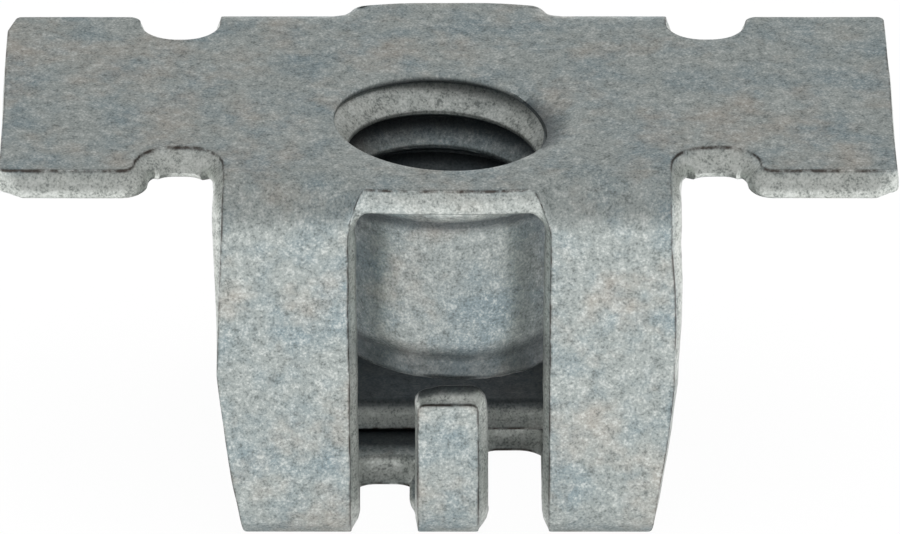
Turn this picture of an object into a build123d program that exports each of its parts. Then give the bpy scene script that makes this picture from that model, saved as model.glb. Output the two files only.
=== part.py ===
from build123d import *
import os

# Clip nut folded from one sheet-steel blank, with a drawn and threaded collar.
# Millimetres. Z up from the underside of the floor, origin at the middle of the box's base,
# front wall with the snap tab towards -Y, wings out along X.

# Sheet and box
sheet = 0.7                 # sheet thickness
box_depth = 11.0            # front face to back face
height = 10.5               # underside of floor to top of plate
leg_span = 12.0             # across the outer edges of the two legs, on the inner face
base_span = 10.6            # the same, at the foot of the taper
taper_start = 5.2           # height at which the leg sides begin to run in
taper_blend = 4.0           # radius that eases the sides into the taper
bend_top = 1.3              # outer radius of the folds at the plate
bend_foot = 1.4             # outer radius of the folds at the floor

# Floor and the flange lying over it
lap_gap = 0.06              # air between floor and flange
flange_reach = 5.85         # back face to the free end of the flange
floor_end_gap = 1.5         # back face to the free end of the floor

# Sheared edges
shear_lean = 0.15           # how far the outer face is cut back
shear_depth = 0.5           # depth over which the cut edge leans

# Wings
wing_span = 23.2            # tip to tip, on the underside
wing_front_set = 1.15       # front face to the wings' front edge
wing_back_set = 0.85        # back face to the wings' back edge
corner_radius = 0.25        # plan corners of the wings
notch_radius = 0.93         # round end of each bend relief
notch_front = 1.45          # depth of the front reliefs
notch_back = 1.28           # depth of the back reliefs

# Windows and lips
window_span = 5.0           # between the front legs
back_window_span = 5.6      # between the back legs
window_corner = 0.6         # corner radius of the windows
lip_set = 0.12              # crown of each lip behind the face of its wall
lip_bulge = 0.2             # crown of a lip ahead of its ends
lip_shoulder = 0.5          # slope where a lip runs down into the legs
back_window_foot = 3.2      # height of the back window's lower edge

# Snap tab and the slots beside it
tab_width = 1.72
tab_height = 4.45           # underside of floor to the tab's upper end
tab_corner = 0.5            # corner radius of that end
slot_left = 3.65            # front face to the round end of the left slot
slot_right = 5.38           # front face to the round end of the right slot

# Threaded collar, M6
thread_minor = 5.0          # bore at the thread crests
bore_set = 3.9              # front face to the bore axis
collar_outside = 6.8
collar_foot = 4.7           # height of the collar's lower end
collar_root = 0.3           # fillet under the plate
collar_bevel = 0.3          # run-in of the outside at the lower end
collar_bevel_height = 0.7
bore_entry = 0.28           # rounding at the top of the bore
bore_exit = 0.2             # chamfer at the lower end of the bore

# Derived positions
clear = 1.0                 # how far cutters run past the sheet
half_depth = box_depth / 2
half_sheet = sheet / 2
plate_under = height - sheet
flange_under = sheet + lap_gap
top_tangent = half_depth - bend_top
foot_tangent = half_depth - bend_foot
wing_front = wing_front_set - half_depth
wing_back = half_depth - wing_back_set
bore_shift = bore_set - half_depth
notch_x = leg_span / 2 + notch_radius
slot_width = (window_span - tab_width) / 2
slot_x = (window_span + tab_width) / 4
lip_reach = half_depth - lip_set
lip_root = foot_tangent - sheet - clear
lip_drop = bend_top - (bend_top**2 - (lip_reach - lip_bulge - top_tangent) ** 2) ** 0.5
bore_axis = Axis((0, bore_shift, 0), (0, 0, 1))

with BuildPart() as clip_nut:
    # Folded strip: outer face from the floor round to the flange, then the inner face back
    with BuildSketch(Plane.YZ.offset(-leg_span / 2)):
        with BuildLine():
            floor_under = Line((half_depth - floor_end_gap, 0), (-foot_tangent, 0))
            foot = JernArc(floor_under @ 1, floor_under % 1, bend_foot, -90)
            front = Line(foot @ 1, (-half_depth, height - bend_top))
            front_fold = JernArc(front @ 1, front % 1, bend_top, -90)
            top = Line(front_fold @ 1, (top_tangent, height))
            back_fold = JernArc(top @ 1, top % 1, bend_top, -90)
            back = Line(back_fold @ 1, (half_depth, flange_under + bend_foot))
            heel = JernArc(back @ 1, back % 1, bend_foot, -90)
            flange = Line(heel @ 1, (half_depth - flange_reach, flange_under))
            flange_end = Line(flange @ 1, flange @ 1 + (0, sheet))
            flange_top = Line(flange_end @ 1, (foot_tangent, flange_under + sheet))
            heel_in = JernArc(flange_top @ 1, flange_top % 1, bend_foot - sheet, 90)
            back_in = Line(heel_in @ 1, (half_depth - sheet, height - bend_top))
            back_fold_in = JernArc(back_in @ 1, back_in % 1, bend_top - sheet, 90)
            top_in = Line(back_fold_in @ 1, (-top_tangent, plate_under))
            front_fold_in = JernArc(top_in @ 1, top_in % 1, bend_top - sheet, 90)
            front_in = Line(front_fold_in @ 1, (sheet - half_depth, bend_foot))
            foot_in = JernArc(front_in @ 1, front_in % 1, bend_foot - sheet, 90)
            floor_top = Line(foot_in @ 1, (half_depth - floor_end_gap, sheet))
            Line(floor_top @ 1, floor_under @ 0)
        make_face()
    extrude(amount=leg_span)

    # Sides of the legs, running in towards the foot
    with BuildSketch(Plane.XZ.offset(-half_depth - clear)):
        with BuildLine() as leg_outline:
            Polyline(
                (-base_span / 2, 0),
                (base_span / 2, 0),
                (leg_span / 2, taper_start),
                (leg_span / 2, height),
                (-leg_span / 2, height),
                (-leg_span / 2, taper_start),
                close=True,
            )
            fillet(leg_outline.vertices().group_by(Axis.Y)[1], taper_blend)
        make_face()
    extrude(amount=box_depth + clear * 2, mode=Mode.INTERSECT)

    # Front window, cut round the snap tab and open down both sides of it
    with BuildSketch(Plane.XZ.offset(half_depth + clear)):
        with Locations((0, plate_under / 2 - clear)):
            RectangleRounded(window_span, plate_under + clear * 2, window_corner)
        with Locations((0, height)):
            Rectangle(window_span - window_corner * 2, (sheet + clear) * 2)
        with Locations((0, 0)):
            RectangleRounded(tab_width, tab_height * 2, tab_corner, mode=Mode.SUBTRACT)
    extrude(amount=-(clear + bend_foot + sheet), mode=Mode.SUBTRACT)

    # Slots of the floor beside the tab, the right one longer
    with BuildSketch(Plane.XY.offset(-clear)):
        for side, reach in ((-1, slot_left), (1, slot_right)):
            with Locations((side * slot_x, (reach - slot_width / 2) / 2 - half_depth)):
                SlotOverall(reach + slot_width / 2, slot_width, rotation=90)
    extrude(amount=clear + sheet + lap_gap / 2, mode=Mode.SUBTRACT)

    # Back window
    with BuildSketch(Plane.XZ.offset(-half_depth - clear)):
        with Locations((0, (plate_under + back_window_foot) / 2)):
            RectangleRounded(back_window_span, plate_under - back_window_foot, window_corner)
        with Locations((0, height)):
            Rectangle(back_window_span - window_corner * 2, (sheet + clear) * 2)
    extrude(amount=clear + bend_top, mode=Mode.SUBTRACT)

    # Ends of the plate over the windows, left flat where the legs fold down beside them
    for side, span in ((1, window_span), (-1, back_window_span)):
        with BuildSketch(Plane.XZ.offset(side * lip_reach)):
            with BuildLine():
                Polyline(
                    (-span / 2, plate_under),
                    (span / 2, plate_under),
                    (span / 2, height - lip_drop),
                    (span / 2 - lip_shoulder, height),
                    (lip_shoulder - span / 2, height),
                    (-span / 2, height - lip_drop),
                    close=True,
                )
            make_face()
        extrude(amount=-side * (lip_reach - lip_root))
        with BuildSketch(Plane.XY.offset(plate_under)):
            with BuildLine():
                ThreePointArc(
                    (-span / 2, -side * (lip_reach - lip_bulge)),
                    (0, -side * lip_reach),
                    (span / 2, -side * (lip_reach - lip_bulge)),
                )
                Polyline(
                    (span / 2, -side * (lip_reach - lip_bulge)),
                    (span / 2, -side * (half_depth + clear)),
                    (-span / 2, -side * (half_depth + clear)),
                    (-span / 2, -side * (lip_reach - lip_bulge)),
                )
            make_face()
        extrude(amount=height, mode=Mode.SUBTRACT)

    # Plate with its wings and the bend reliefs between wings and legs
    with BuildSketch(Plane.XY.offset(plate_under)):
        with Locations((0, (wing_front + wing_back) / 2)):
            RectangleRounded(wing_span, wing_back - wing_front, corner_radius)
        for side in (-1, 1):
            for edge, depth, turn in ((wing_front, notch_front, 1), (wing_back, notch_back, -1)):
                centre = edge + turn * (depth - notch_radius)
                with Locations((side * notch_x, centre)):
                    Circle(notch_radius, mode=Mode.SUBTRACT)
                with Locations((side * notch_x, centre - turn * height / 2)):
                    Rectangle(notch_radius * 2, height, mode=Mode.SUBTRACT)
    extrude(amount=sheet)
    mouths = clip_nut.edges().filter_by(Axis.Z).filter_by(
        lambda e: abs(abs(e.center().X) - notch_x - notch_radius) < 0.01
    )
    fillet(mouths, corner_radius)

    # Sheared edge round each wing and down the legs, the outer face cut back from the inner
    plate_face = clip_nut.faces().filter_by(Axis.Z).group_by(Axis.Z)[-1].sort_by(SortBy.AREA)[-1]
    tips = plate_face.edges().filter_by(Axis.Y).sort_by(Axis.X)
    chamfer([tips[0], tips[-1]], length=shear_lean, length2=shear_depth, reference=plate_face)

    # Collar drawn down from the plate
    with BuildSketch(Plane.XZ.offset(-bore_shift)) as collar:
        with BuildLine():
            Polyline(
                (0, collar_foot),
                (collar_outside / 2 - collar_bevel, collar_foot),
                (collar_outside / 2, collar_foot + collar_bevel_height),
                (collar_outside / 2, plate_under - collar_root),
            )
            RadiusArc(
                (collar_outside / 2, plate_under - collar_root),
                (collar_outside / 2 + collar_root, plate_under),
                collar_root,
            )
            Polyline(
                (collar_outside / 2 + collar_root, plate_under),
                (collar_outside / 2, height - half_sheet),
                (0, height - half_sheet),
                (0, collar_foot),
            )
        make_face()
    revolve(axis=bore_axis)

    # Bore at the thread crests, rounded at the top and chamfered at the foot
    with BuildSketch(Plane.XZ.offset(-bore_shift)) as bore:
        with BuildLine():
            Polyline(
                (0, collar_foot - clear),
                (thread_minor / 2 + bore_exit + clear, collar_foot - clear),
                (thread_minor / 2, collar_foot + bore_exit),
                (thread_minor / 2, height - bore_entry),
            )
            RadiusArc(
                (thread_minor / 2, height - bore_entry),
                (thread_minor / 2 + bore_entry, height),
                bore_entry,
            )
            Polyline(
                (thread_minor / 2 + bore_entry, height),
                (thread_minor / 2 + bore_entry, height + clear),
                (0, height + clear),
                (0, collar_foot - clear),
            )
        make_face()
    revolve(axis=bore_axis, mode=Mode.SUBTRACT)

clip_nut.part.label = "clip_nut"
os.makedirs("parts", exist_ok=True)
export_step(clip_nut.part, "parts/clip_nut.step")
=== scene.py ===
import math

import bmesh
import bpy
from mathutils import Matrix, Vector, noise


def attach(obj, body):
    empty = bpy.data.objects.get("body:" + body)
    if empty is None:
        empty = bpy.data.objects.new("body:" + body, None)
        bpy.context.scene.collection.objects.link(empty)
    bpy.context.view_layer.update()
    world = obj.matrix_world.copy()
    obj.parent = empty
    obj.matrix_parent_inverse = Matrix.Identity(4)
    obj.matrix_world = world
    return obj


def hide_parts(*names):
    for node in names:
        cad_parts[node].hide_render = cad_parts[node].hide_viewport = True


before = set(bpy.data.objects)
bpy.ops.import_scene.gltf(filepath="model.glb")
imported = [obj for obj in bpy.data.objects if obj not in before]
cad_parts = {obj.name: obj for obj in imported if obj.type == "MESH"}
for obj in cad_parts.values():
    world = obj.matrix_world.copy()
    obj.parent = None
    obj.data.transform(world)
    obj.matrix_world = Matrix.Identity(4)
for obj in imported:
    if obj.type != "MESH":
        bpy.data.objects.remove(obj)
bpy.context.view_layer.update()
print("frame loaded")

mm = 0.001


def hexColour(code):
    # sRGB hex to the linear values that a shader socket wants
    parts = [int(code[i:i + 2], 16) / 255 for i in (1, 3, 5)]
    linear = [c / 12.92 if c <= 0.04045 else ((c + 0.055) / 1.055) ** 2.4 for c in parts]
    return (*linear, 1.0)


def addNode(tree, kind, values=None, links=None, **settings):
    # one shader node with its settings, socket values and incoming links
    node = tree.nodes.new(kind)
    for name, value in settings.items():
        setattr(node, name, value)
    for name, value in (values or {}).items():
        node.inputs[name].default_value = value
    for name, source in (links or {}).items():
        tree.links.new(source, node.inputs[name])
    return node


def newMaterial(name):
    material = bpy.data.materials.new(name)
    material.use_nodes = True
    material.node_tree.nodes.clear()
    return material


def nothingSelected():
    if bpy.context.mode != "OBJECT":
        bpy.ops.object.mode_set(mode="OBJECT")
    bpy.ops.object.select_all(action="DESELECT")


def makeActive(piece):
    nothingSelected()
    piece.select_set(True)
    bpy.context.view_layer.objects.active = piece


zincFinish = {
    "base": "#a9b0ae",          # dull zinc grey
    "cool": "#8d9fa6",          # blue-green tint of the passivation
    "warm": "#b9b2a8",          # paler, warmer places
    "spark": "#e4e7e3",         # crystals that catch the light
    "pit": "#4c5453",           # pores between them
    "cut": "#c8ccc7",           # sheared faces, lighter: partly their own brighter sheared zinc, partly painted light on faces that lie in shade
    "paintedShade": "#343b40",        # painted shade in hollows, under ledges and in the thread's grooves
    "burr": "#3c332e",          # torn edge left by the punch
    # noise patterns: size in mm, detail, roughness, and a shift that tells them apart
    "patterns": {
        "cool": (1.5, 4.0, 0.6, 0.0),
        "warm": (1.95, 4.0, 0.62, 3.0),
        "clump": (0.24, 3.0, 0.6, 5.0),         # patches of crystals
        "grain": (0.062, 2.0, 0.7, 7.0),        # crystals, coarser than real so that they show
        "torn": (0.6, 4.0, 0.7, 9.0),           # breaks in the torn edge
    },
    # tones laid one over another: where each begins to show, where it shows most, and how much
    "tones": [
        ("cool", 0.45, 0.65, 0.7),
        ("warm", 0.49, 0.67, 0.7),
        # sheared faces, partly their own tone and partly painted light
        ("cut", 0.0, 1.0, 0.9),
        ("spark", 0.87, 1.08, 0.6),
        ("pit", 0.82, 0.61, 0.55),
        # painted shade
        ("paintedShade", 0.0, 1.0, 0.88),
        ("burr", 0.05, 0.9, 0.9),
    ],
    "clumpShare": 0.7,          # weight of the clumps against the grain
    "speckleMiddle": 0.85,
    "speckleOnCut": 0.35,       # extra speckle on the rough sheared faces
    "breaks": (0.40, 0.56),     # from a break in the torn edge to a whole stretch of it
    "breakLeast": 0.15,
    "reach": 5.0,               # mm, how near another wall must stand to lay on painted shade
    "closed": (0.56, 0.12),     # share of open sky where the painted shade begins, and where it is darkest
    "speckleRange": (0.61, 1.09),
    "roughness": (0.56, 0.34),  # dull crystals and bright ones
    "metallic": 0.9,
    "relief": 0.008,            # mm, height of the crystals
    "reliefShare": 0.5,
}


def zincPlatedSteel():
    # stamped low-carbon steel strip, zinc plated in bulk after folding: matt, finely crystalline;
    # its colour also carries painted shade and painted light
    material = newMaterial("zinc_plated_stamped_steel")
    tree = material.node_tree
    place = addNode(tree, "ShaderNodeTexCoord").outputs["Object"]
    patterns = {}
    for name, (size, detail, rough, shift) in zincFinish["patterns"].items():
        patterns[name] = addNode(tree, "ShaderNodeTexNoise", {
            "W": shift, "Scale": 1 / mm / size, "Detail": detail, "Roughness": rough,
        }, {"Vector": place}, noise_dimensions="4D").outputs["Fac"]
    marks = {}
    for name in ("burr", "cut", "paintedShadeMark"):
        marks[name] = addNode(tree, "ShaderNodeAttribute", attribute_name=name).outputs["Fac"]

    # speckle of bright crystals and pores
    middle = zincFinish["speckleMiddle"]
    mixed = addNode(tree, "ShaderNodeMath", {1: zincFinish["clumpShare"]}, {
        0: patterns["clump"], 2: patterns["grain"]}, operation="MULTIPLY_ADD").outputs[0]
    centred = addNode(tree, "ShaderNodeMath", {1: middle}, {0: mixed},
                      operation="SUBTRACT").outputs[0]
    strength = addNode(tree, "ShaderNodeMath", {1: zincFinish["speckleOnCut"], 2: 1.0},
                       {0: marks["cut"]}, operation="MULTIPLY_ADD").outputs[0]
    speckle = addNode(tree, "ShaderNodeMath", {2: middle}, {0: centred, 1: strength},
                      operation="MULTIPLY_ADD").outputs[0]

    # torn edge with breaks in it
    start, full = zincFinish["breaks"]
    breaks = addNode(tree, "ShaderNodeMapRange", {
        "From Min": start, "From Max": full, "To Min": zincFinish["breakLeast"],
    }, {"Value": patterns["torn"]}).outputs["Result"]
    torn = addNode(tree, "ShaderNodeMath", links={0: marks["burr"], 1: breaks},
                   operation="MULTIPLY").outputs[0]

    # painted shade where other walls stand near, from ambient occlusion, but not on sheared faces,
    # and painted shade where it is marked
    openSky = addNode(tree, "ShaderNodeAmbientOcclusion", {
        "Distance": zincFinish["reach"] * mm}, only_local=True, samples=8).outputs["AO"]
    start, full = zincFinish["closed"]
    closed = addNode(tree, "ShaderNodeMapRange", {"From Min": start, "From Max": full},
                     {"Value": openSky}).outputs["Result"]
    uncut = addNode(tree, "ShaderNodeMath", {0: 1.0}, {1: marks["cut"]},
                    operation="SUBTRACT").outputs[0]
    paintedShade = addNode(tree, "ShaderNodeMath", links={0: closed, 1: uncut, 2: marks["paintedShadeMark"]},
                     operation="MULTIPLY_ADD").outputs[0]

    shown = {"cool": patterns["cool"], "warm": patterns["warm"], "cut": marks["cut"],
             "spark": speckle, "pit": speckle, "paintedShade": paintedShade, "burr": torn}
    below = {}
    for tone, start, full, most in zincFinish["tones"]:
        share = addNode(tree, "ShaderNodeMapRange", {
            "From Min": start, "From Max": full, "To Max": most,
        }, {"Value": shown[tone]}).outputs["Result"]
        mix = addNode(tree, "ShaderNodeMix", {
            6: hexColour(zincFinish["base"]), 7: hexColour(zincFinish[tone]),
        }, {0: share, **below}, data_type="RGBA")
        below = {6: mix.outputs[2]}

    low, high = zincFinish["speckleRange"]
    dull, bright = zincFinish["roughness"]
    roughness = addNode(tree, "ShaderNodeMapRange", {
        "From Min": low, "From Max": high, "To Min": dull, "To Max": bright,
    }, {"Value": speckle}).outputs["Result"]
    bump = addNode(tree, "ShaderNodeBump", {
        "Strength": zincFinish["reliefShare"], "Distance": zincFinish["relief"] * mm,
    }, {"Height": speckle}).outputs["Normal"]
    shader = addNode(tree, "ShaderNodeBsdfPrincipled", {"Metallic": zincFinish["metallic"]}, {
        "Base Color": below[6], "Roughness": roughness, "Normal": bump}).outputs["BSDF"]
    addNode(tree, "ShaderNodeOutputMaterial", links={"Surface": shader})
    return material


# the blank is one strip of sheet, punched flat and then folded, all in mm
# x runs across the strip and y along it, from the middle of the plate, front wall towards -y
blank = {
    "sheet": 0.7,
    "halfDepth": 5.5,           # y of the walls' outer faces
    "topTangent": 4.2,          # where the folds at the plate begin
    "bendTop": 1.3,             # outer radius of those folds
    "bendFoot": 1.4,            # outer radius of the folds at the foot
    "height": 10.5,
    "wingStart": 6.7,           # the wings beyond this x stay flat
    "flangeUnder": 0.76,        # the flange lies just over the floor
    "floorEnd": 4.0,            # y of the floor's hidden end
    "flangeEnd": -0.35,         # y of the flange's end
    "frontLip": (2.1, 2.68),    # x where the flat lip passes into the folded leg
    "backLip": (2.2, 2.95),
    "foldSteps": 12,
    "gridStep": 0.5,
    "gridAcross": 0.6,          # the step across the strip, as a share of the one along it
    "arcStep": 0.09,            # on the corners of the outline
    "edgeStep": 0.4,            # on its straight stretches
    # unevenness of a pressed part: noise per mm with its share, and its reach in x, y and z
    "sway": ((0.55, 0.7), (1.9, 0.3)),
    "swayReach": (0.035, 0.01, 0.006),
    "swayRoom": (1, 0.9985, 0.999),     # drawn in by this, so that it stays inside the true size
    "swayLift": (0, 0, 0.005),
}
halfSheet = blank["sheet"] / 2
topArc = (blank["bendTop"] - halfSheet) * math.pi / 2
footArc = (blank["bendFoot"] - halfSheet) * math.pi / 2
wallTop = blank["height"] - blank["bendTop"]
wallStart = blank["topTangent"] + topArc                # flat length from the plate's middle
frontFoot = wallStart + wallTop - blank["bendFoot"]     # where the front wall meets its foot fold
backFoot = frontFoot - blank["flangeUnder"]
footTangent = blank["halfDepth"] - blank["bendFoot"]
floorLength = frontFoot + footArc + footTangent + blank["floorEnd"]
flangeLength = backFoot + footArc + footTangent - blank["flangeEnd"]


def along(z):
    # flat distance from the middle of the plate to height z on a wall
    return wallStart + wallTop - z


def roundCorners(corners):
    # closed outline with each corner (x, y, radius) turned into an arc
    points = []
    for i, (x, y, radius) in enumerate(corners):
        here = Vector((x, y))
        before = Vector(corners[i - 1][:2]) - here
        after = Vector(corners[(i + 1) % len(corners)][:2]) - here
        turn = before.angle(after)
        if radius < 0.01 or turn > math.pi - 0.02:      # no corner worth an arc
            points.append(here)
            continue
        reach = radius / math.tan(turn / 2)
        start = here + before.normalized() * reach
        end = here + after.normalized() * reach
        inward = (before.normalized() + after.normalized()).normalized()
        centre = here + inward * radius / math.sin(turn / 2)
        a = math.atan2(start.y - centre.y, start.x - centre.x)
        b = math.atan2(end.y - centre.y, end.x - centre.x)
        sweep = (b - a + math.pi) % (2 * math.pi) - math.pi
        count = max(3, round(abs(sweep) * radius / blank["arcStep"]))
        for k in range(count + 1):
            angle = a + sweep * k / count
            points.append(centre + Vector((math.cos(angle), math.sin(angle))) * radius)
    # long straight stretches are divided, so that the edge can lean differently along them
    fine = []
    for i, here in enumerate(points):
        after = points[(i + 1) % len(points)]
        count = max(1, round((after - here).length / blank["edgeStep"]))
        fine += [here.lerp(after, k / count) for k in range(count)]
    return fine


# outlines on the outer face, as corners of (x, y, radius)
outerCorners = [
    # right side, from the floor's end up the front leg
    (5.15, -floorLength, 0.2), (5.18, -(frontFoot + footArc), 2), (5.43, -along(1.4), 3),
    (5.71, -along(3.4), 4), (5.84, -along(4.7), 3), (5.86, -along(6.3), 4),
    (5.83, -along(7.6), 4), (5.76, -along(8.8), 3),
    # front relief, right wing, back relief
    (5.70, -4.4, 0.5), (5.80, -2.90, 0.96), (8.02, -2.90, 0.98), (8.04, -4.2, 0.32),
    (11.53, -4.2, 0.16), (11.45, 4.5, 0.2),
    (7.78, 4.5, 0.3), (7.80, 3.2, 0.96), (5.72, 3.2, 0.96), (5.74, 4.8, 0.4),
    # right back leg, flange, left back leg
    (5.85, along(5.2), 3), (5.4, along(2.2), 3), (5.28, backFoot + footArc, 2),
    (5.28, flangeLength, 0.3), (-5.28, flangeLength, 0.3),
    (-5.28, backFoot + footArc, 2), (-5.4, along(2.2), 3), (-5.85, along(5.2), 3),
    # back relief, left wing with its back corner rubbed off, front relief
    (-5.96, 4.8, 0.4), (-6.04, 3.2, 0.96), (-8.08, 3.2, 0.96), (-8.04, 4.5, 0.3),
    (-11.30, 4.5, 0.15), (-11.53, 3.7, 0.3), (-11.51, -4.2, 0.16),
    (-8.06, -4.2, 0.32), (-8.04, -2.90, 0.98), (-5.82, -2.90, 0.96), (-5.76, -4.4, 0.5),
    # left front leg, down to the floor's end
    (-5.80, -along(9.3), 3), (-5.85, -along(8.2), 4), (-5.90, -along(6.7), 4),
    (-5.97, -along(5.2), 2), (-5.88, -along(4.3), 3), (-5.58, -along(1.95), 3),
    (-5.43, -along(1.2), 2), (-5.18, -(frontFoot + footArc), 2), (-5.15, -floorLength, 0.2),
]
slotLeft = -(frontFoot + footArc + footTangent - 1.95)      # ends of the two slots in the floor
slotRight = -(frontFoot + footArc + footTangent - 0.12)
frontHole = [
    # lip, left side down to the left slot, snap tab, right slot, right side
    (-1.1, -5.33, 6), (-2.57, -5.20, 0.55), (-2.56, -along(7.0), 5), (-2.5, slotLeft, 0.62),
    (-0.78, slotLeft, 0.62), (-0.78, -along(4.3), 0.17), (0.78, -along(4.3), 0.2),
    (0.82, slotRight, 0.5), (2.6, slotRight, 0.75), (2.63, -along(7.0), 5),
    (2.66, -5.20, 0.52), (1.1, -5.33, 6),
]
backHole = [
    (-1.2, 5.34, 6), (1.2, 5.34, 6), (2.4, 5.15, 0.3), (2.9, 5.6, 0.4),
    (2.9, along(3.2), 0.6), (-2.9, along(3.2), 0.6), (-2.9, 5.6, 0.4), (-2.4, 5.15, 0.3),
]
# rings of the sheared edge from the outer face inwards, in mm:
# set back, share of the lean, depth, share of burr, share of cut face
edgeRings = [
    (-0.075, 0, 0.0, 0, 0), (-0.03, 0, 0.004, 0.4, 0), (-0.006, 0, 0.02, 1, 0),
    (0.0, 0, 0.055, 1, 0), (0.0, 0.1, 0.10, 0.1, 0.5), (0.0, 0.45, 0.22, 0, 1),
    (0.0, 0.8, 0.36, 0, 1), (0.0, 1, 0.54, 0, 1), (-0.02, 1, 0.63, 0, 1),
    (-0.07, 1, 0.68, 0, 0.4), (-0.15, 1, 0.7, 0, 0),
]


def ease(a, b, value):
    # 0 at a, 1 at b, smooth between them
    share = min(1, max(0, (value - a) / (b - a)))
    return share * share * (3 - 2 * share)


def lean(x, y):
    # how far the inner face stands past the outer one at this place of the outline, in mm
    if abs(x) > 11.25:                                  # tips of the wings
        return 0.05
    if abs(x) > 7.75:                                   # their long edges
        return 0.36 if y < 0 else 0.15
    if abs(x) > 6.0 and abs(y) < 4.2:                   # round ends of the reliefs
        return 0.2 + 0.27 * ease(-3.9, -3.2, y) if y < 0 else 0.15
    if y > flangeLength - 0.13:                         # end of the flange
        return -0.33 + 0.25 * ease(4.3, 5.15, abs(x))
    if abs(x) > 4.6:                                    # outer sides of the legs
        if y > 0:
            return 0.15 - 0.23 * ease(flangeLength - 0.6, flangeLength - 0.1, y)
        low = 0.0 if x < 0 else 0.08
        return low + (0.27 - low) * (1 - ease(4.5, along(5.0 if x < 0 else 3.6), -y))
    if y > 0:                                           # back window
        return 0.15
    if -5.4 < y:                                        # lip over the front window
        return 0.13
    side = 0.22 if x < 0 else 0.17
    if y < -(frontFoot + footArc):                      # slots in the floor, eased back at the ends
        near = ease(0.85, 0.05, y - (slotLeft if x < 0 else slotRight))
        return side * (1 - near) - 0.28 * near
    if abs(x) < 1.2:                                    # snap tab, arched at its top
        top = 1 - ease(along(4.25), along(3.9), -y)
        arch = 0.06 + 0.23 * (1 - min(1, (x / 0.85) ** 2)) + 0.12 * ease(0.1, 0.7, x)
        edge = 0.07 if x < 0 else 0.26
        return edge + (arch - edge) * top
    return 0.13 + (side - 0.13) * ease(5.4, 6.0, -y)    # inner sides of the legs


def punchBlank():
    shape = bmesh.new()
    burr = shape.verts.layers.float.new("burr")
    cut = shape.verts.layers.float.new("cut")
    caps = ([], [])
    for corners in (outerCorners, frontHole, backHole):
        line = roundCorners(corners)
        count = len(line)
        area = sum(line[i].cross(line[(i + 1) % count]) for i in range(count))
        away = (1 if area > 0 else -1) * (1 if corners is outerCorners else -1)
        rings = []
        for setBack, share, depth, torn, sheared in edgeRings:
            ring = []
            for i, here in enumerate(line):
                a = (here - line[i - 1]).normalized()
                b = (line[(i + 1) % count] - here).normalized()
                side = (a + b).normalized()
                side = Vector((side.y, -side.x)) * away / max(0.6, (1 + a.dot(b)) / 2) ** 0.5
                place = here + side * (setBack + share * lean(here.x, here.y))
                ring.append(shape.verts.new((place.x, place.y, -depth)))
                ring[-1][burr] = torn
                ring[-1][cut] = sheared
            rings.append(ring)
        for upper, lower in zip(rings, rings[1:]):
            for i in range(count):
                k = (i + 1) % count
                shape.faces.new((upper[i], upper[k], lower[k], lower[i]))
        for cap, ring in ((caps[0], rings[0]), (caps[1], rings[-1])):
            for i in range(count):
                cap.append(shape.edges.get((ring[i], ring[(i + 1) % count])))
    for cap in caps:
        bmesh.ops.triangle_fill(shape, edges=cap, use_beauty=True, use_dissolve=False)
    bmesh.ops.recalc_face_normals(shape, faces=shape.faces)
    mesh = bpy.data.meshes.new("nutBody")
    shape.to_mesh(mesh)
    shape.free()
    piece = bpy.data.objects.new("nutBody", mesh)
    bpy.context.scene.collection.objects.link(piece)
    return piece


def cutAcross(places, axis):
    # bisects the whole blank at each place along x (0) or y (1)
    normal = [0, 0, 0]
    normal[axis] = 1
    for place in places:
        point = [0, 0, 0]
        point[axis] = place
        bpy.ops.mesh.select_all(action="SELECT")
        bpy.ops.mesh.bisect(plane_co=point, plane_no=normal)


def gridBlank(piece):
    # divides the flat blank, finely where it will fold
    makeActive(piece)
    bpy.ops.object.mode_set(mode="EDIT")
    bpy.ops.mesh.select_all(action="SELECT")
    bpy.ops.mesh.dissolve_limited(angle_limit=0.001)
    count, step = blank["foldSteps"], blank["gridStep"]
    steps = []
    for sign, foot in ((-1, frontFoot), (1, backFoot)):
        for start, length in ((blank["topTangent"], topArc), (foot, footArc)):
            steps += [sign * (start + length * k / count) for k in range(count + 1)]
    edge = max(floorLength, flangeLength)
    coarse = [i * step - edge for i in range(int(edge * 2 / step))]
    steps += [y for y in coarse if min(abs(y - s) for s in steps) > 0.2]
    cutAcross(sorted(steps), 1)
    cutAcross([i * step * blank["gridAcross"] for i in range(-38, 39)], 0)
    bpy.ops.object.mode_set(mode="OBJECT")


def foldPoint(x, y, depth):
    # where a point of the flat blank comes to lie, depth counted from the outer face
    front = y < 0
    sign = -1 if front else 1
    far = abs(y)
    foot = frontFoot if front else backFoot
    if abs(x) > blank["wingStart"] or far <= blank["topTangent"]:
        return Vector((x, y, blank["height"] - depth))
    if far < wallStart:
        # the lips over the windows stay nearly flat where the legs beside them turn down
        inner, outer = blank["frontLip" if front else "backLip"]
        beside = ease(inner, outer, abs(x))
        below = ease(5.3, wallStart, far) * ease(inner - 0.2, inner + 0.4, abs(x))
        bendShare = 0.02 + 0.98 * max(beside, below)
        middle = (blank["bendTop"] - halfSheet) / bendShare
        angle = (far - blank["topTangent"]) / middle
        radius = middle + halfSheet - depth
        # nothing stands out past the wall's face, the layers kept just apart
        reach = min(blank["topTangent"] + radius * math.sin(angle),
                    blank["halfDepth"] - 0.02 * depth)
        return Vector((x, sign * reach,
                       blank["height"] - halfSheet - middle + radius * math.cos(angle)))
    if far < foot:
        return Vector((x, sign * (blank["halfDepth"] - depth), wallTop - (far - wallStart)))
    angle = min(1, (far - foot) / footArc) * math.pi / 2
    radius = blank["bendFoot"] - depth
    base = 0 if front else blank["flangeUnder"]
    run = max(0, far - foot - footArc)
    return Vector((x, sign * (footTangent + radius * math.cos(angle) - run),
                   base + blank["bendFoot"] - radius * math.sin(angle)))


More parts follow.
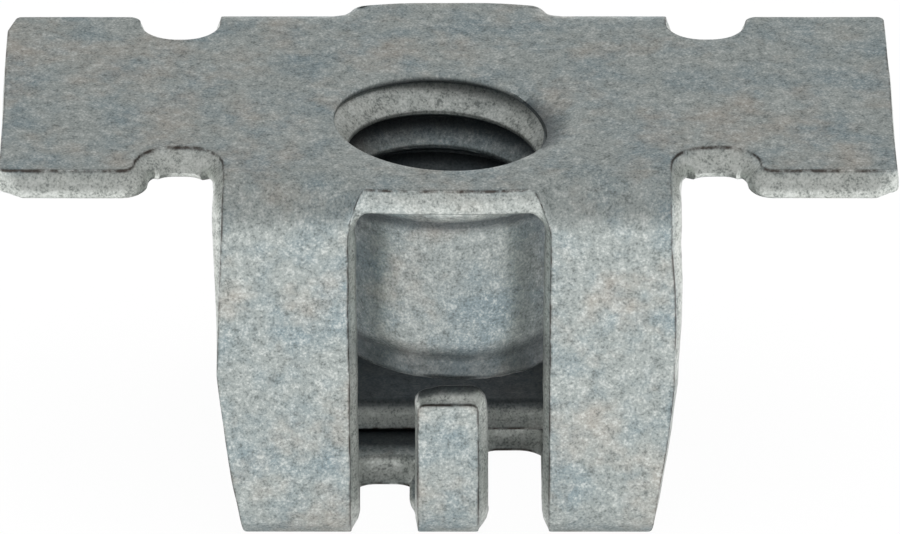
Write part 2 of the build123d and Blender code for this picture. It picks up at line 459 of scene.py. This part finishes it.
def foldBlank(piece):
    reach, room, lift = (blank[name] for name in ("swayReach", "swayRoom", "swayLift"))
    for vertex in piece.data.vertices:
        x, y, z = vertex.co
        place = foldPoint(x, y, -z)
        sway = Vector((0, 0, 0))
        for perMm, share in blank["sway"]:
            sway += noise.noise_vector(place * perMm) * share
        vertex.co = Vector([
            place[i] * room[i] + lift[i] + sway[i] * reach[i] for i in range(3)]) * mm
    makeActive(piece)
    bpy.ops.object.mode_set(mode="EDIT")
    bpy.ops.mesh.select_all(action="SELECT")
    bpy.ops.mesh.dissolve_degenerate(threshold=0.000002)
    bpy.ops.mesh.select_all(action="SELECT")
    bpy.ops.mesh.normals_make_consistent(inside=False)
    bpy.ops.object.mode_set(mode="OBJECT")


# the collar drawn down from the plate, in mm
collar = {
    "axis": (0.0, -1.6),
    # outside of the collar from its foot up into the plate (radius, height)
    "outside": [
        (0, 4.74), (3.0, 4.72), (3.14, 4.75), (3.23, 4.84), (3.25, 4.97), (3.22, 5.1), (3.19, 5.2),
        (3.2, 5.32), (3.28, 5.48), (3.39, 5.68), (3.46, 5.92), (3.47, 6.3), (3.43, 7.6),
        (3.41, 8.8), (3.43, 9.05), (3.48, 9.27), (3.56, 9.45), (3.65, 9.59), (3.74, 9.69),
        (3.78, 9.8), (3.78, 9.9), (3.5, 10.2), (0, 10.2),
    ],
    "dip": (-0.06, -0.08),      # the foot falls to the right, by mm per mm, and in the middle
    "ragged": ((1.3, 0.05, 0), (4, 0.03, 7)),   # its torn lip: noise per mm, reach, and a shift
    "outOfRound": 0.006,
}
# the thread cut in it, as a right-hand screw, in mm
thread = {
    "axis": (-0.12, -1.6),      # the tap ran a little to the left
    "pitch": 1.0,
    "crest": 2.47,              # radius of the bore at the crests
    "root": 3.03,
    "crestHeight": 9.53,        # a crest lies here on the side away from the tab
    "top": 10.36,               # the thread stops under the rim of the plate
    "core": (4, 7),             # radius and length of the cylinder that ends the tap there
    "turns": 9,
    "turnsBelow": 6,            # of these, under that crest
    "steps": 96,
}


def lineOf(name, profile):
    # open line of (radius, height), to be turned round the bore's axis
    mesh = bpy.data.meshes.new(name)
    mesh.from_pydata([(r * mm, 0, z * mm) for r, z in profile],
                     [(i, i + 1) for i in range(len(profile) - 1)], [])
    piece = bpy.data.objects.new(name, mesh)
    bpy.context.scene.collection.objects.link(piece)
    makeActive(piece)
    return piece


def spinProfile(name, profile):
    piece = lineOf(name, profile)
    bpy.ops.object.mode_set(mode="EDIT")
    bpy.ops.mesh.select_all(action="SELECT")
    bpy.ops.mesh.spin(steps=thread["steps"], angle=math.pi * 2, center=(0, 0, 0),
                      axis=(0, 0, 1), use_normal_flip=False)
    bpy.ops.mesh.select_all(action="SELECT")
    bpy.ops.mesh.remove_doubles(threshold=0.000001)
    bpy.ops.mesh.normals_make_consistent(inside=False)
    bpy.ops.object.mode_set(mode="OBJECT")
    return piece


def closeEnds(piece, middle):
    # fills the open rim below and the one above a height, and turns the faces outwards
    for side in (-1, 1):
        bpy.ops.mesh.select_mode(type="VERT")
        bpy.ops.mesh.select_all(action="DESELECT")
        bpy.ops.mesh.select_non_manifold(extend=False)
        shape = bmesh.from_edit_mesh(piece.data)
        for vertex in shape.verts:
            if (vertex.co.z - middle) * side < 0:
                vertex.select = False
        shape.select_flush(False)
        bpy.ops.mesh.edge_face_add()
    bpy.ops.mesh.select_all(action="SELECT")
    bpy.ops.mesh.normals_make_consistent(inside=False)


def joinBy(piece, other, operation):
    makeActive(piece)
    cut = piece.modifiers.new("cut", "BOOLEAN")
    cut.operation = operation
    cut.solver = "EXACT"
    cut.object = other
    bpy.ops.object.modifier_apply(modifier="cut")
    bpy.data.objects.remove(other)
    print(operation.lower(), len(piece.data.polygons), "faces")


def makeCollar():
    piece = spinProfile("collar", collar["outside"])
    for vertex in piece.data.vertices:
        x, y, z = vertex.co / mm
        low = 1 - ease(5.0, 6.5, z)
        # the drawn lip is a little ragged, and lower on the right
        ragged = sum(noise.noise(Vector((x, y, shift)) * perMm) * reach
                     for perMm, reach, shift in collar["ragged"])
        z += low * (ragged + collar["dip"][0] * x + collar["dip"][1])
        wobble = 1 + noise.noise(Vector((x, y, z)) * 0.9) * collar["outOfRound"]
        vertex.co = Vector((x * wobble + collar["axis"][0], y * wobble + collar["axis"][1], z)) * mm
    return piece


def makeTap():
    # one pitch of the thread's section, turned up the bore
    pitch, crest, root = thread["pitch"], thread["crest"], thread["root"]
    section = [
        (crest + 0.02, -0.07), (crest, -0.03), (crest, 0.03), (crest + 0.03, 0.08),
        (root - 0.05, 0.49), (root, 0.54), (root, 0.60), (root - 0.05, 0.64), (crest + 0.02, 0.93),
    ]
    piece = lineOf("tap", [(r, z * pitch) for r, z in section])
    screw = piece.modifiers.new("screw", "SCREW")
    screw.angle = math.pi * 2
    screw.screw_offset = pitch * mm
    screw.iterations = thread["turns"]
    screw.steps = screw.render_steps = thread["steps"]
    screw.use_merge_vertices = True
    screw.merge_threshold = 0.000002
    bpy.ops.object.modifier_apply(modifier="screw")
    bpy.ops.object.mode_set(mode="EDIT")
    bpy.ops.mesh.select_all(action="SELECT")
    bpy.ops.mesh.remove_doubles(threshold=0.000002)
    closeEnds(piece, thread["turns"] * pitch / 2 * mm)
    bpy.ops.object.mode_set(mode="OBJECT")
    # the side away from the tab is a quarter turn on from +X, where the screw starts
    lift = thread["crestHeight"] - 0.25 * pitch - thread["turnsBelow"] * pitch
    for vertex in piece.data.vertices:
        vertex.co += Vector((*thread["axis"], lift)) * mm
    nothingSelected()
    radius, length = thread["core"]
    bpy.ops.mesh.primitive_cylinder_add(
        vertices=64, radius=radius * mm, depth=length * mm, location=(
            thread["axis"][0] * mm, thread["axis"][1] * mm, (thread["top"] - length / 2) * mm))
    joinBy(piece, bpy.context.object, "INTERSECT")
    return piece


# what is cut round the bore besides the thread, in mm:
# name, middle, stretch along the oval's long way, profile of (radius, height)
ovalAngle = math.radians(141.7)     # the rim is drawn out this way, where the thread runs out
boreCuts = [
    ("rim", (-0.185, -1.526), 1.13, [
        (0, 10.0), (2.3, 10.04), (2.5, 10.16), (2.54, 10.28), (2.55, 10.43), (2.58, 10.48),
        (2.66, 10.52), (2.8, 10.7), (0, 10.7)]),
    ("runout", (1.37, -1.6), 1.0, [
        (0, 10.05), (1.2, 10.3), (1.85, 10.44), (2.04, 10.48), (2.2, 10.52), (2.5, 10.72),
        (0, 10.72)]),
    ("foot", (-0.16, -1.6), 1.0, [
        (0, 4.2), (3.02, 4.2), (2.98, 4.5), (2.7, 4.76), (2.42, 5.02), (0, 5.2)]),
]


def makeBoreCut(name, middle, stretch, profile):
    piece = spinProfile(name, profile)
    long = Vector((math.cos(ovalAngle), math.sin(ovalAngle), 0))
    for vertex in piece.data.vertices:
        vertex.co += long * long.dot(vertex.co) * (stretch - 1) + Vector((*middle, 0)) * mm
    return piece


def threadPaintedLightAndShade(x, y, z):
    # painted light on the thread's lit flank, given as cut face, and painted shade in its grooves,
    # at this place
    dx, dy = x - thread["axis"][0], y - thread["axis"][1]
    turned = math.atan2(dy, dx) / (2 * math.pi)
    if turned < -0.25:
        turned += 1
    above = z - thread["crestHeight"] - (turned - 0.25) * thread["pitch"]
    if above > -0.04:                       # over the uppermost crest: painted light on the flank where light falls, painted shade in the root above it
        return 0.85 * ease(0.62, 0.5, above), 0.85 * ease(0.5, 0.68, above)
    if above > -1.03:                       # a turn lower: painted shadow of the crest above, lighter at the crest itself
        return 0, 0.25 + 0.5 * ease(2.52, 2.7, math.hypot(dx, dy))
    # lower still: painted shade
    return 0, 0.85


def collarPaintedShade(x, z):
    # painted shade under the plate and at the foot, a little in the middle, and none inside the
    # plate
    outsidePlate = ease(10.1, 9.9, z)
    return max(0.75 * ease(6.1, 5.3, z), 0.85 * ease(8.9, 9.3, z) * outsidePlate,
               0.2 * ease(2.9, 1.4, abs(x)) * outsidePlate)


def markPlaces(piece):
    # the burr and the cut face belong to the punched outline; painted shade goes where shade falls,
    # and painted light on the thread's lit flank
    paintedShadeMark = piece.data.attributes.new("paintedShadeMark", "FLOAT", "POINT").data
    burr, cut = (piece.data.attributes[name].data for name in ("burr", "cut"))
    for i, vertex in enumerate(piece.data.vertices):
        x, y, z = vertex.co / mm
        fromAxis = math.hypot(x - collar["axis"][0], y - collar["axis"][1])
        if fromAxis < 3.1 and z > 4:                        # bore, up to its rim, with painted light and shade on the thread
            burr[i].value = cut[i].value = 0
            if z <= 10.38:
                cut[i].value, paintedShadeMark[i].value = threadPaintedLightAndShade(x, y, z)
        elif fromAxis < 3.62 and z > 4:                     # outside of the collar, with painted shade
            burr[i].value = cut[i].value = 0
            paintedShadeMark[i].value = collarPaintedShade(x, z)
        elif 1.3 < z < 1.7 and abs(y) < 4.2:                # top of the flange, painted shade under the plate
            paintedShadeMark[i].value = ease(-0.24, 0.02, y)
        elif 0.6 < z < 0.8 and y > -1.9:                    # floor in front of the flange, painted shadow of the flange
            paintedShadeMark[i].value = ease(-1.5, -1.05, y)
        elif z > 9.7 and -5.6 < y < -4.8 and abs(x) < 2.5:  # lip over the window, less of the sheared faces' lighter tone, which is partly painted light
            cut[i].value *= 0.55
        elif y > 4.4 and 1.4 < z < 9.3:                     # inside of the back wall, painted shade
            paintedShadeMark[i].value = 0.5 * ease(5.4, 4.9, y)


nut = punchBlank()
gridBlank(nut)
foldBlank(nut)
print("folded", len(nut.data.polygons), "faces")
joinBy(nut, makeCollar(), "UNION")
joinBy(nut, makeTap(), "DIFFERENCE")
for boreCut in boreCuts:
    joinBy(nut, makeBoreCut(*boreCut), "DIFFERENCE")
markPlaces(nut)
nut.data.materials.clear()
nut.data.materials.append(zincPlatedSteel())
makeActive(nut)
bpy.ops.object.shade_smooth_by_angle(angle=math.radians(40))
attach(nut, "root")
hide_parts("clip_nut")
print("nut made")

# white paper under a pale room, as the picture was taken
studio = {
    "floorSize": 2.0,                   # m
    "floorColour": "#f0f0f0",
    "floorDrop": -0.00002,              # m, just under the nut
    # share of plain white that the camera and the metal see, the rest keeps the shadow
    "floorGlow": (0.97, 0.4),
    "room": (1.0, 0.5),                 # brightness low down and overhead
    "roomTurn": (0.1, 0.25),            # how far up one passes into the other
    "lampPlace": (0.05, -0.05, 0.5),    # m
    "lampSize": (0.5, 0.5),             # m
    "lampPower": 3.2,                   # W
    "aim": (0.0527, -0.2349, 5.5582),   # mm, the middle of the picture
    "distance": 330.0,                  # mm
    "elevation": 28.0,
    "pixelsPerMm": 38.31,
    "pixelsWide": 900,
    "sensor": 36,                       # mm
}


def makeFloor():
    nothingSelected()
    bpy.ops.mesh.primitive_plane_add(size=studio["floorSize"], location=(0, 0, studio["floorDrop"]))
    floor = bpy.context.object
    floor.name = "paperFloor"
    material = newMaterial("white_paper")
    tree = material.node_tree
    matt = addNode(tree, "ShaderNodeBsdfDiffuse", {"Color": hexColour(studio["floorColour"])})
    glow = addNode(tree, "ShaderNodeEmission", {"Color": (1, 1, 1, 1), "Strength": 1.0})
    path = addNode(tree, "ShaderNodeLightPath")
    forCamera, forMetal = studio["floorGlow"]
    mirrored = addNode(tree, "ShaderNodeMath", links={
        0: path.outputs["Is Glossy Ray"], 1: path.outputs["Is Transmission Ray"],
    }, operation="MAXIMUM")
    inMetal = addNode(tree, "ShaderNodeMath", {1: forMetal}, {0: mirrored.outputs[0]},
                      operation="MULTIPLY")
    share = addNode(tree, "ShaderNodeMath", {1: forCamera}, {
        0: path.outputs["Is Camera Ray"], 2: inMetal.outputs[0]}, operation="MULTIPLY_ADD")
    mix = addNode(tree, "ShaderNodeMixShader", links={
        0: share.outputs[0], 1: matt.outputs["BSDF"], 2: glow.outputs["Emission"]})
    addNode(tree, "ShaderNodeOutputMaterial", links={"Surface": mix.outputs["Shader"]})
    floor.data.materials.append(material)


def makeWorld():
    # white round the horizon, where the camera may see it, and dimmer overhead
    world = bpy.data.worlds.new("paleRoom")
    bpy.context.scene.world = world
    world.use_nodes = True
    tree = world.node_tree
    tree.nodes.clear()
    direction = addNode(tree, "ShaderNodeTexCoord").outputs["Generated"]
    upward = addNode(tree, "ShaderNodeSeparateXYZ", links={"Vector": direction}).outputs["Z"]
    (low, high), (horizon, overhead) = studio["roomTurn"], studio["room"]
    level = addNode(tree, "ShaderNodeMapRange", {
        "From Min": low, "From Max": high, "To Min": horizon, "To Max": overhead,
    }, {"Value": upward})
    room = addNode(tree, "ShaderNodeBackground", {"Color": (1, 1, 1, 1)}, {
        "Strength": level.outputs["Result"]})
    addNode(tree, "ShaderNodeOutputWorld", links={"Surface": room.outputs["Background"]})


def makeLamp():
    data = bpy.data.lights.new("softTop", "AREA")
    data.shape = "RECTANGLE"
    data.size, data.size_y = studio["lampSize"]
    data.energy = studio["lampPower"]
    lamp = bpy.data.objects.new("softTop", data)
    bpy.context.scene.collection.objects.link(lamp)
    place = Vector(studio["lampPlace"])
    lamp.location = place
    lamp.rotation_euler = (-place).to_track_quat("-Z", "Y").to_euler()
    lamp.visible_glossy = False         # the metal mirrors the room, not the lamp's outline


def makeCamera():
    data = bpy.data.cameras.new("photoCamera")
    camera = bpy.data.objects.new("photoCamera", data)
    bpy.context.scene.collection.objects.link(camera)
    angle = math.radians(studio["elevation"])
    back = Vector((0, -math.cos(angle), math.sin(angle)))
    camera.location = (Vector(studio["aim"]) + back * studio["distance"]) * mm
    camera.rotation_euler = (-back).to_track_quat("-Z", "Y").to_euler()
    data.sensor_width = studio["sensor"]
    data.lens = (studio["pixelsPerMm"] * studio["distance"] * studio["sensor"]
                 / studio["pixelsWide"])
    data.clip_start, data.clip_end = 0.01, 10
    bpy.context.scene.camera = camera


makeFloor()
makeWorld()
makeLamp()
makeCamera()
bpy.context.scene.view_settings.view_transform = "Standard"
print("studio ready")
